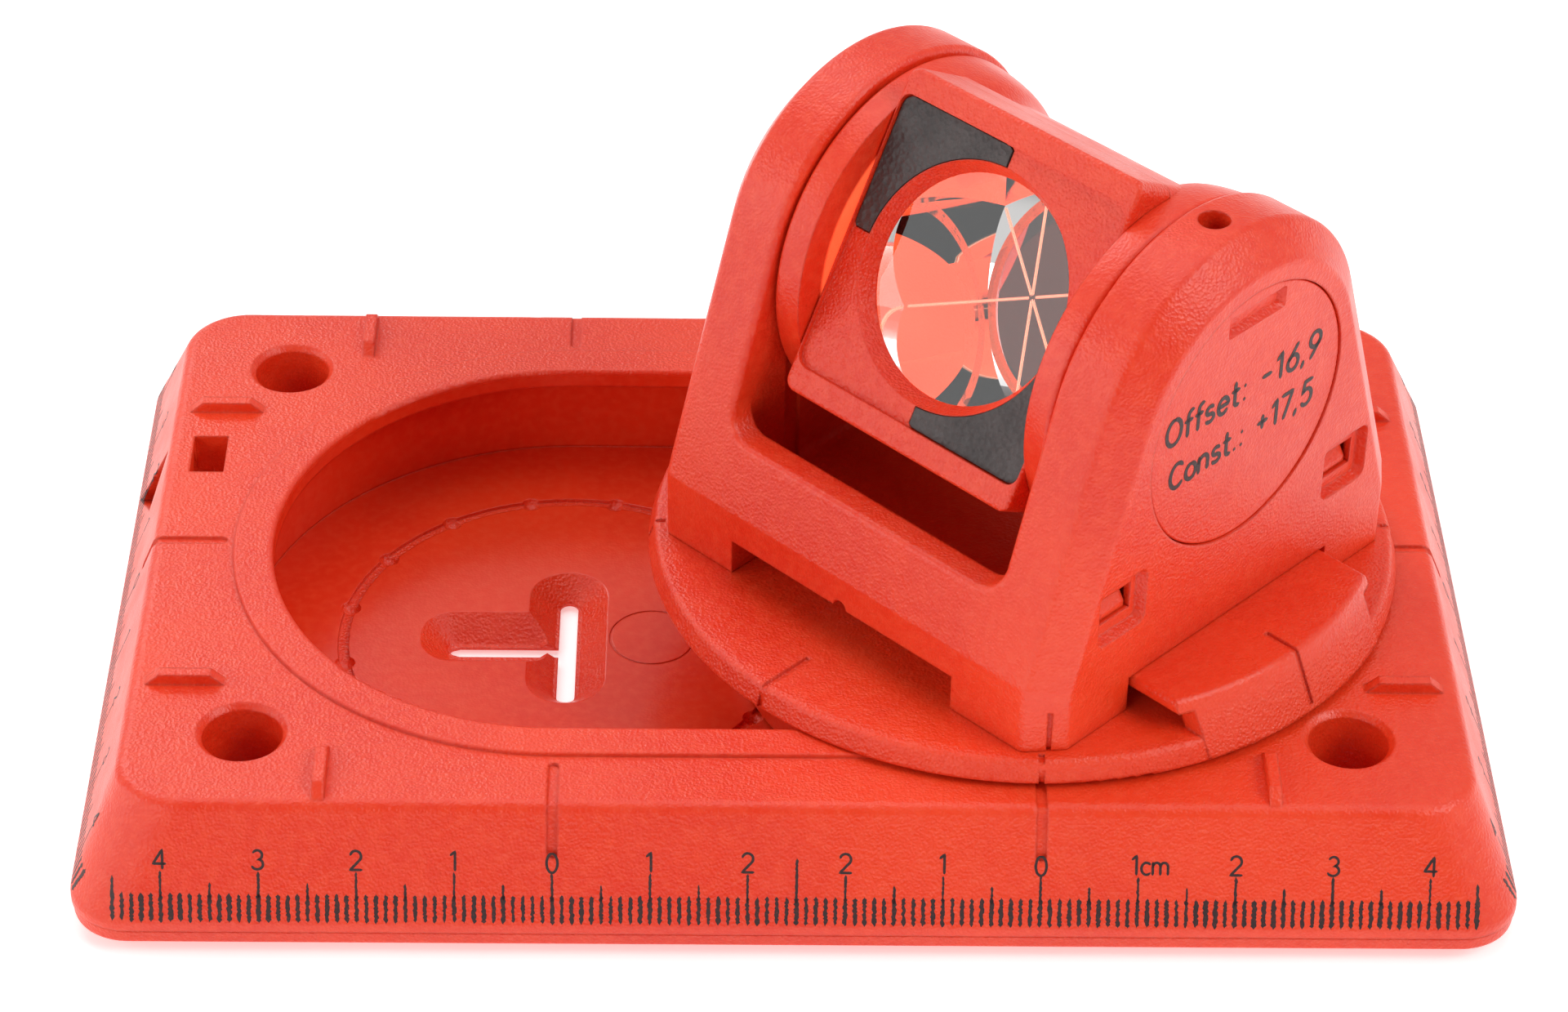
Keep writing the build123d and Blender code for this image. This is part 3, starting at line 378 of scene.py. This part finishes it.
NODE_MATERIALS = {
    "base_plate": plastic, "base_bottom": plastic_floor, "retaining_ring": acetal,
    "turntable": plastic_disc, "drum": plastic_drum, "drum_screws": steel, "yoke": plastic_yoke,
    "cap_right": plastic_cap, "cap_left": plastic_cap, "friction_discs": acetal,
    "wave_springs": spring_steel, "clamp_screw": steel, "bezel": plastic_bezel,
    "prism_back": plastic_back, "glass": glass, "gasket": rubber, "cushion": foam,
    "target_upper": target, "target_lower": target, "frame_screws": steel,
    "pivot_washers": steel, "pivot_screws": steel,
}
for node_name, material in NODE_MATERIALS.items():
    node_object = bpy.data.objects[node_name]
    node_object.data.materials.clear()
    node_object.data.materials.append(material)


# ---------------------------------------------------------------- geometry helpers
def add_mesh(name, verts, faces, material, body):
    """Mesh piece that rides on a body and takes a colour slot."""
    mesh = bpy.data.meshes.new(name)
    mesh.from_pydata([tuple(v) for v in verts], [], faces)
    mesh.validate()
    mesh.update()
    for polygon in mesh.polygons:
        polygon.use_smooth = False
    obj = bpy.data.objects.new(name, mesh)
    bpy.context.scene.collection.objects.link(obj)
    mesh.materials.append(material)
    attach(obj, body)
    return obj


def arc(cx, cy, rx, ry, start, end, steps=14):
    """Points of an elliptical arc in degrees, counter-clockwise positive."""
    points = []
    for i in range(steps + 1):
        a = math.radians(start + (end - start) * i / steps)
        points.append((cx + rx * math.cos(a), cy + ry * math.sin(a)))
    return points


def glyph(char):
    """Strokes and advance of one character, cap height 1."""
    loop = arc(0.29, 0.5, 0.27, 0.5, 90, 450, 24)
    table = {
        "0": ([loop], 0.58),
        "1": ([[(0.04, 0.80), (0.26, 1.0), (0.26, 0.0)]], 0.42),
        "2": ([arc(0.30, 0.71, 0.27, 0.29, 165, -38, 14) + [(0.02, 0.0), (0.60, 0.0)]], 0.62),
        "3": ([arc(0.27, 0.75, 0.24, 0.25, 150, -90, 12)
               + arc(0.26, 0.27, 0.29, 0.27, 90, -155, 14)[1:]], 0.58),
        "4": ([[(0.62, 0.27), (0.0, 0.27), (0.46, 1.0), (0.46, 0.0)]], 0.66),
        "5": ([[(0.54, 1.0), (0.16, 1.0), (0.07, 0.54)] + arc(0.27, 0.33, 0.28, 0.33, 128, -145, 14)], 0.60),
        "6": ([[(0.50, 1.0)] + arc(0.29, 0.30, 0.27, 0.30, 155, 515, 24)], 0.60),
        "7": ([[(0.0, 1.0), (0.54, 1.0), (0.14, 0.0)]], 0.58),
        "9": ([[(0.10, 0.0)] + arc(0.29, 0.70, 0.27, 0.30, -25, 335, 24)], 0.60),
        ",": ([[(0.10, 0.06), (0.02, -0.16)]], 0.22),
        ".": ([[(0.06, 0.02), (0.08, 0.06)]], 0.20),
        ":": ([[(0.08, 0.04), (0.09, 0.08)], [(0.08, 0.58), (0.09, 0.62)]], 0.26),
        "-": ([[(0.0, 0.46), (0.42, 0.46)]], 0.52),
        "+": ([[(0.0, 0.46), (0.48, 0.46)], [(0.24, 0.20), (0.24, 0.72)]], 0.58),
        " ": ([], 0.42),
        "c": ([arc(0.26, 0.32, 0.25, 0.32, 45, 315, 14)], 0.50),
        "m": ([[(0.0, 0.0), (0.0, 0.64)], arc(0.19, 0.42, 0.19, 0.22, 180, 0, 8) + [(0.38, 0.0)],
               arc(0.57, 0.42, 0.19, 0.22, 180, 0, 8) + [(0.76, 0.0)]], 0.84),
        "O": ([arc(0.37, 0.5, 0.36, 0.5, 90, 450, 26)], 0.76),
        "C": ([arc(0.37, 0.5, 0.36, 0.5, 45, 315, 20)], 0.68),
        "f": ([[(0.14, 0.0), (0.14, 0.78)] + arc(0.34, 0.80, 0.20, 0.20, 180, 80, 8),
               [(0.0, 0.62), (0.34, 0.62)]], 0.36),
        "s": ([arc(0.21, 0.48, 0.18, 0.16, 35, 250, 10)
               + arc(0.21, 0.17, 0.20, 0.16, 80, -150, 10)], 0.46),
        "e": ([[(0.03, 0.33), (0.50, 0.33)] + arc(0.26, 0.32, 0.25, 0.32, 4, 320, 18)], 0.54),
        "t": ([[(0.14, 0.95), (0.14, 0.16)] + arc(0.30, 0.16, 0.16, 0.15, 180, 290, 8),
               [(0.0, 0.62), (0.34, 0.62)]], 0.40),
        "n": ([[(0.0, 0.0), (0.0, 0.64)], arc(0.23, 0.40, 0.23, 0.24, 180, 0, 10) + [(0.46, 0.0)]], 0.56),
        "o": ([arc(0.27, 0.32, 0.26, 0.32, 90, 450, 22)], 0.56),
    }
    return table[char]


def text_width(text, size, gap):
    return sum(glyph(c)[1] * size + gap for c in text) - gap


def resample(points, step):
    """Points along a polyline at an even step."""
    out = [Vector(points[0])]
    for a, b in zip(points[:-1], points[1:]):
        a = Vector(a)
        b = Vector(b)
        count = max(1, round((b - a).length / step))
        for i in range(1, count + 1):
            out.append(a.lerp(b, i / count))
    return out


def stroke_outline(points, width, rng, ragged, taper):
    """Left and right edges and both tips of one inked stroke, in the page's own x and y."""
    tip = width * 0.35
    left = []
    right = []
    total = len(points)
    for i, point in enumerate(points):
        before = points[max(i - 1, 0)]
        after = points[min(i + 1, total - 1)]
        along = after - before
        along = along.normalized() if along.length > 1e-9 else Vector((0.0, 1.0))
        across = Vector((-along.y, along.x))
        reach = width / 2
        if i in (0, total - 1):
            reach *= taper
        left.append(point + across * (reach + rng.uniform(-ragged, ragged)))
        right.append(point - across * (reach + rng.uniform(-ragged, ragged)))
    first = points[0] - (points[1] - points[0]).normalized() * tip
    last = points[-1] + (points[-1] - points[-2]).normalized() * tip
    return left, right, first, last


class Print:
    """Collects inked strokes that lie on one surface and turns them into one mesh.

    surface(x, y) gives the point and normal, in millimetres, under a place on the page.
    """

    def __init__(self, surface, proud, sunk, seed):
        self.surface = surface
        self.proud = proud
        self.sunk = sunk
        self.rng = random.Random(seed)
        self.verts = []
        self.faces = []

    def place(self, point, height):
        spot, normal = self.surface(point.x, point.y)
        return (spot + normal * height) * MM

    def stroke(self, points, width, ragged=0.0, step=0.25, taper=0.7):
        path = resample(points, step)
        if len(path) < 2:
            return
        left, right, first, last = stroke_outline(path, width, self.rng, ragged, taper)
        ring = [first] + right + [last] + left[::-1]
        start = len(self.verts)
        count = len(ring)
        for height in (self.proud, -self.sunk):
            for point in ring:
                self.verts.append(self.place(point, height))
        size = len(path)
        for base, flip in ((start, False), (start + count, True)):
            quads = [(base, base + 1, base + count - 1)]
            for i in range(size - 1):
                quads.append((base + 1 + i, base + 2 + i, base + count - 2 - i, base + count - 1 - i))
            quads.append((base + size, base + size + 1, base + size + 2))
            for face in quads:
                self.faces.append(face[::-1] if flip else face)
        for i in range(count):
            j = (i + 1) % count
            self.faces.append((start + i, start + count + i, start + count + j, start + j))

    def text(self, text, x, y, size, width, gap, ragged=0.0, center=True):
        if center:
            x -= text_width(text, size, gap) / 2
        for char in text:
            strokes, advance = glyph(char)
            for points in strokes:
                moved = [(x + px * size, y + py * size) for px, py in points]
                self.stroke(moved, width, ragged, step=size * 0.07)
            x += advance * size + gap

    def finish(self, name, material, body, slot):
        return add_mesh(name, self.verts, self.faces, material, body)


# ---------------------------------------------------------------- scale print
TICK_BOTTOM_Z = 4.72
TICK_SHORT = 2.95
TICK_HALF = 4.2
TICK_WHOLE = 5.4
TICK_MIDDLE = 7.15
TICK_OVERLAP_Y = 2.4
TICK_WIDTH = (0.34, 0.46)
TICK_END_WIDER = 1.08
TICK_THIN = 0.62
FIGURE_Y = 5.66
ZERO_DROP = 0.18
FIGURE_SIZE = 2.05
FIGURE_STROKE = 0.28
CORNER_LIMIT = 0.95
RAGGED = 0.012


def skirt_point(along, rise, side):
    """Point and normal on a sloping side of the plate, following its rounded corners.

    along runs to the right as seen from outside, rise is measured up the slope from the ticks' foot,
    side is 0 for the front, 1 for the right, 2 for the back and 3 for the left.
    """
    axis = side % 2
    run = (SKIRT_HALF[1 - axis] - DECK_HALF[1 - axis]) / (DECK_Z - SKIRT_Z)
    z = TICK_BOTTOM_Z + rise / math.hypot(1.0, run)
    share = (z - SKIRT_Z) / (DECK_Z - SKIRT_Z)
    half_along = SKIRT_HALF[axis] + (DECK_HALF[axis] - SKIRT_HALF[axis]) * share
    half_out = SKIRT_HALF[1 - axis] + (DECK_HALF[1 - axis] - SKIRT_HALF[1 - axis]) * share
    radius = SKIRT_CORNER_R + (DECK_CORNER_R - SKIRT_CORNER_R) * share
    over = max(abs(along) - (half_along - radius), 0.0)
    over = min(over, radius * CORNER_LIMIT)
    angle = math.asin(over / radius)
    out = half_out - radius + radius * math.cos(angle)
    lean = math.copysign(math.sin(angle), along)
    point = Vector((along, -out, z))
    normal = Vector((lean, -math.cos(angle), run)).normalized()
    turn = Matrix.Rotation(math.radians(90.0 * side), 4, "Z")
    return turn @ point, turn @ normal


def tick_length(i, zeros, middle):
    """Longer ticks at every half and whole centimetre, the longest midway between two zeros."""
    if i == middle:
        return TICK_MIDDLE
    count = i - min(zeros, key=lambda z: abs(i - z))
    if count % 10 == 0:
        return TICK_WHOLE
    if count % 5 == 0:
        return TICK_HALF
    return TICK_SHORT


def ticks(page, numbers, low, high, zeros, middle):
    """Millimetre ticks with figures, drawn upward from the page's origin line."""
    for i in range(low, high + 1):
        bold = page.rng.uniform(*TICK_WIDTH) * (TICK_END_WIDER if abs(i) > 40 else 1.0)
        length = tick_length(i, zeros, middle) + page.rng.uniform(-0.06, 0.06)
        base = page.rng.uniform(-0.07, 0.07)
        tip = page.rng.uniform(-0.03, 0.03)
        foot = [(i, base), (i + tip * 0.6, min(length, TICK_SHORT))]
        page.stroke(foot, bold, ragged=0.085, step=0.18, taper=0.35)
        if length > TICK_SHORT + 0.5:
            stem = [(i, TICK_OVERLAP_Y), (i + tip, length)]
            page.stroke(stem, bold * TICK_THIN, ragged=0.045, step=0.18, taper=0.3)
    for x, text in numbers:
        drop = ZERO_DROP if text == "0" else 0.0
        page.text(text, x, FIGURE_Y - drop, FIGURE_SIZE, FIGURE_STROKE, gap=0.16, ragged=RAGGED)


def skirt_print(side, seed):
    """Ink page on one sloping side of the plate."""
    return Print(lambda along, rise: skirt_point(along, rise, side), proud=0.012, sunk=0.05, seed=seed)


front = skirt_print(0, 11)
front_numbers = []
for n in range(5):
    front_numbers.append((-STATION_X - 10 * n, str(n)))
    if n > 1:
        front_numbers.append((STATION_X + 10 * n, str(n)))
for n in (1, 2):
    front_numbers.append((-STATION_X + 10 * n, str(n)))
    front_numbers.append((STATION_X - 10 * n, str(n)))
front_numbers.append((STATION_X, "0"))
front_numbers.append((STATION_X + 11.2, "1cm"))
ticks(front, front_numbers, -70, 70, (-25, 25), 0)
front.finish("scale_front", ink_scale, "base", "black_target")

for side, label in ((3, "left"), (1, "right")):
    page = skirt_print(side, 20 + side)
    side_numbers = [(10 * k, str(abs(k))) for k in range(-4, 5)]
    ticks(page, side_numbers, -44, 44, (0,), None)
    page.finish("scale_" + label, ink_side, "base", "black_target")


# ---------------------------------------------------------------- offset figures on the right cap
def cap_point(along, height):
    """Point and normal on the flat outer face of the right cap."""
    return (
        Vector((STATION_X, 0.0, height)) + head_vector(CAP_FACE_X, along, 0.0),
        head_vector(1.0, 0.0, 0.0))


label = Print(cap_point, proud=0.03, sunk=0.10, seed=5)
label.text("Offset: -16,9", -12.8, 51.3, 3.1, 0.52, gap=0.50, ragged=RAGGED, center=False)
label.text("Const.: +17,5", -11.7, 45.5, 3.0, 0.52, gap=0.40, ragged=RAGGED, center=False)
label.finish("offset_figures", ink_label, "head", "black_target")


# ---------------------------------------------------------------- ground edges of the corner cube, glowing with painted light
EDGE_WIDTH = 0.17
EDGE_INSET = 0.192
EDGE_DEPTH = 0.05
EDGE_START = 0.25
EDGE_END_GAP = 0.45


def prism_point(x, forward, up):
    """Point of the prism head: along the tilt axis, out of the face, and up the face."""
    local = Vector((x, -forward * math.cos(TILT) + up * math.sin(TILT),
                    forward * math.sin(TILT) + up * math.cos(TILT)))
    return (Vector((STATION_X, 0.0, AXIS_Z)) + head_vector(*local)) * MM


def cube_edges():
    """Thin three-sided bars just inside the three back edges of the glass, glowing with painted light."""
    verts = []
    faces = []
    apex_forward = GLASS_FRONT - GLASS_HEIGHT
    for k in range(3):
        angle = math.radians(120 * k)
        out = (math.sin(angle), math.cos(angle))
        side = (math.cos(angle), -math.sin(angle))
        for distance in (EDGE_START, GLASS_R - EDGE_END_GAP):
            forward = apex_forward + distance / math.sqrt(2) + EDGE_INSET
            for sign in (-1, 1):
                half = sign * EDGE_WIDTH / 2
                x = out[0] * distance + side[0] * half
                up = out[1] * distance + side[1] * half
                verts.append(prism_point(x, forward, up))
            verts.append(prism_point(out[0] * distance, forward - EDGE_DEPTH, out[1] * distance))
        a = 6 * k
        faces.append((a, a + 1, a + 4, a + 3))
        faces.append((a + 1, a + 2, a + 5, a + 4))
        faces.append((a + 2, a, a + 3, a + 5))
        faces.append((a, a + 2, a + 1))
        faces.append((a + 3, a + 4, a + 5))
    return add_mesh("cube_edges", verts, faces, chamfer_painted_glow, "prism")


cube_edges()


# ---------------------------------------------------------------- stage, light and camera
CAMERA_LENS = 102.193
CAMERA_YAW = math.radians(-1.107)
CAMERA_PITCH = math.radians(37.054)
CAMERA_ROLL = math.radians(1.097)
CAMERA_AIM = (-0.778, 17.51, 8.5)
CAMERA_DISTANCE = 507.088
WHITE = (1.0, 1.0, 1.0)
ROOM_STRENGTH = 0.56
ROOM_SHADE = (0.11, 0.075, 0.07)
SHADE_DIRECTION = (-0.05, -0.90, 0.43)
SHADE_EDGE = (0.55, 0.93)


def area(name, position, aim, size, power, color=WHITE):
    """Soft box at a position in metres, turned toward aim."""
    light = bpy.data.lights.new(name, "AREA")
    light.shape = "RECTANGLE"
    light.size = size[0]
    light.size_y = size[1]
    light.energy = power
    light.color = color
    obj = bpy.data.objects.new(name, light)
    bpy.context.scene.collection.objects.link(obj)
    obj.location = position
    obj.rotation_euler = (Vector(aim) - Vector(position)).to_track_quat("-Z", "Y").to_euler()


def stage_floor():
    """Large pale sheet under the object."""
    half = 6.0
    corners = [(-half, -half, 0), (half, -half, 0), (half, half, 0), (-half, half, 0)]
    mesh = bpy.data.meshes.new("floor")
    mesh.from_pydata(corners, [], [(0, 1, 2, 3)])
    floor = bpy.data.objects.new("floor", mesh)
    bpy.context.scene.collection.objects.link(floor)
    n = Nodes("floor_paper")
    grain = n.noise(60.0, 3.0, 0.5)
    n.out("Base Color", n.mix(n.range(grain, 0.3, 0.7), (0.90, 0.90, 0.90), (0.93, 0.93, 0.93)))
    n.out("Roughness", 0.9)
    n.out("Specular IOR Level", 0.1)
    n.out("Emission Color", (1.0, 1.0, 1.0, 1.0))
    n.out("Emission Strength", 0.42)
    mesh.materials.append(n.mat)


def studio_room(scene):
    """Even white room with one soft dark patch in front, which the corner cube sends back."""
    world = scene.world or bpy.data.worlds.new("studio")
    scene.world = world
    world.use_nodes = True
    nodes = world.node_tree.nodes
    links = world.node_tree.links
    background = next(n for n in nodes if n.type == "BACKGROUND")
    background.inputs["Strength"].default_value = ROOM_STRENGTH
    sky = nodes.new("ShaderNodeTexCoord")
    facing = nodes.new("ShaderNodeVectorMath")
    facing.operation = "DOT_PRODUCT"
    facing.inputs[1].default_value = SHADE_DIRECTION
    links.new(sky.outputs["Generated"], facing.inputs[0])
    falloff = nodes.new("ShaderNodeMapRange")
    falloff.interpolation_type = "SMOOTHSTEP"
    falloff.inputs["From Min"].default_value = SHADE_EDGE[0]
    falloff.inputs["From Max"].default_value = SHADE_EDGE[1]
    links.new(facing.outputs["Value"], falloff.inputs["Value"])
    room = nodes.new("ShaderNodeMix")
    room.data_type = "RGBA"
    room.inputs[6].default_value = (*WHITE, 1.0)
    room.inputs[7].default_value = (*ROOM_SHADE, 1.0)
    links.new(falloff.outputs["Result"], room.inputs[0])
    links.new(room.outputs[2], background.inputs["Color"])


def studio_camera(scene):
    """Camera on a sphere round its aim point, given by yaw, pitch and roll."""
    data = bpy.data.cameras.new("camera")
    data.sensor_fit = "HORIZONTAL"
    data.sensor_width = 36.0
    data.lens = CAMERA_LENS
    data.clip_start = 0.01
    data.clip_end = 50.0
    camera = bpy.data.objects.new("camera", data)
    scene.collection.objects.link(camera)
    scene.camera = camera
    level = math.cos(CAMERA_PITCH)
    back = Vector((
        math.sin(CAMERA_YAW) * level, -math.cos(CAMERA_YAW) * level, math.sin(CAMERA_PITCH)))
    side = Vector((math.cos(CAMERA_YAW), math.sin(CAMERA_YAW), 0.0))
    up = back.cross(side)
    right = side * math.cos(CAMERA_ROLL) + up * math.sin(CAMERA_ROLL)
    top = -side * math.sin(CAMERA_ROLL) + up * math.cos(CAMERA_ROLL)
    eye = (Vector(CAMERA_AIM) + back * CAMERA_DISTANCE) * MM
    camera.matrix_world = Matrix((
        (right.x, top.x, back.x, eye.x),
        (right.y, top.y, back.y, eye.y),
        (right.z, top.z, back.z, eye.z),
        (0.0, 0.0, 0.0, 1.0)))


scene = bpy.context.scene
stage_floor()
studio_room(scene)
area("key_right", (0.75, -0.35, 0.75), (0.02, 0.0, 0.03), (0.55, 0.55), 5.2, (1.0, 0.99, 0.98))
area("top_soft", (-0.05, 0.25, 1.0), (0.0, 0.0, 0.02), (0.8, 0.6), 2.6)
area("front_left", (-0.6, -0.8, 0.45), (0.0, 0.0, 0.03), (0.5, 0.4), 2.4)
area("left_wall", (-0.95, -0.10, 0.35), (0.0, 0.0, 0.04), (0.6, 0.5), 2.2)
area("back_left", (-0.45, 0.75, 0.65), (0.0, 0.0, 0.04), (0.5, 0.3), 2.4)
studio_camera(scene)
scene.view_settings.view_transform = "Standard"
scene.view_settings.look = "None"

bpy.context.view_layer.update()
